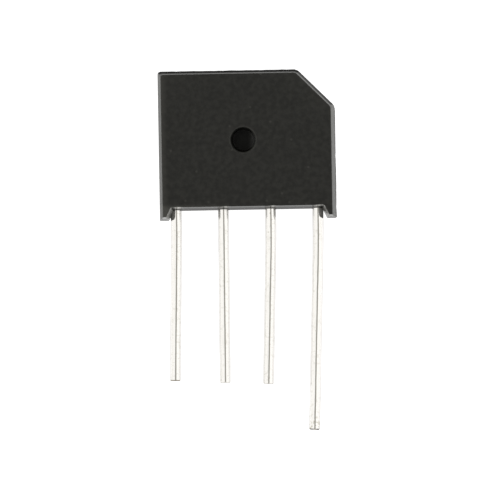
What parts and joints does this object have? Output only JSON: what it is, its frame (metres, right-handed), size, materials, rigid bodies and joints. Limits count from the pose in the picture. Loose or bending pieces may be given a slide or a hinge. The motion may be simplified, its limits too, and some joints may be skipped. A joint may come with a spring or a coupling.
{
  "type": "bridge rectifier",
  "caption": "Bridge rectifier with a flat black moulded body, a bevelled corner, a round dimple in its face, corner feet and round leads in one row.",
  "frame": {"origin": "middle of the back face, which the part lies on, centred on the body without its feet", "axes": "+X along the row of leads from the minus lead to the plus lead, +Y from the lead tips to the top of the body, +Z out of the front face with the dimple"},
  "size_m": [0.019, 0.0388, 0.0062],
  "materials": {
    "epoxy": "matte",
    "tinned_copper": "bright tin plating",
    "bare_copper": "satin",
    "solder": "dull",
    "silicon": "satin"
  },
  "bodies": {
    "root": {"ac_lead_1": "tinned_copper", "ac_lead_2": "tinned_copper", "minus_die_1": "silicon", "minus_die_2": "silicon", "minus_joint_solder": "solder", "minus_jumper": "bare_copper", "minus_jumper_solder_1": "solder", "minus_jumper_solder_2": "solder", "minus_lead": "tinned_copper", "minus_lead_solder_1": "solder", "minus_lead_solder_2": "solder", "moulded_body": "epoxy", "plus_die_1": "silicon", "plus_die_2": "silicon", "plus_joint_solder": "solder", "plus_jumper": "bare_copper", "plus_jumper_solder_1": "solder", "plus_jumper_solder_2": "solder", "plus_lead": "tinned_copper", "plus_lead_solder_1": "solder", "plus_lead_solder_2": "solder"}
  },
  "joints": []
}
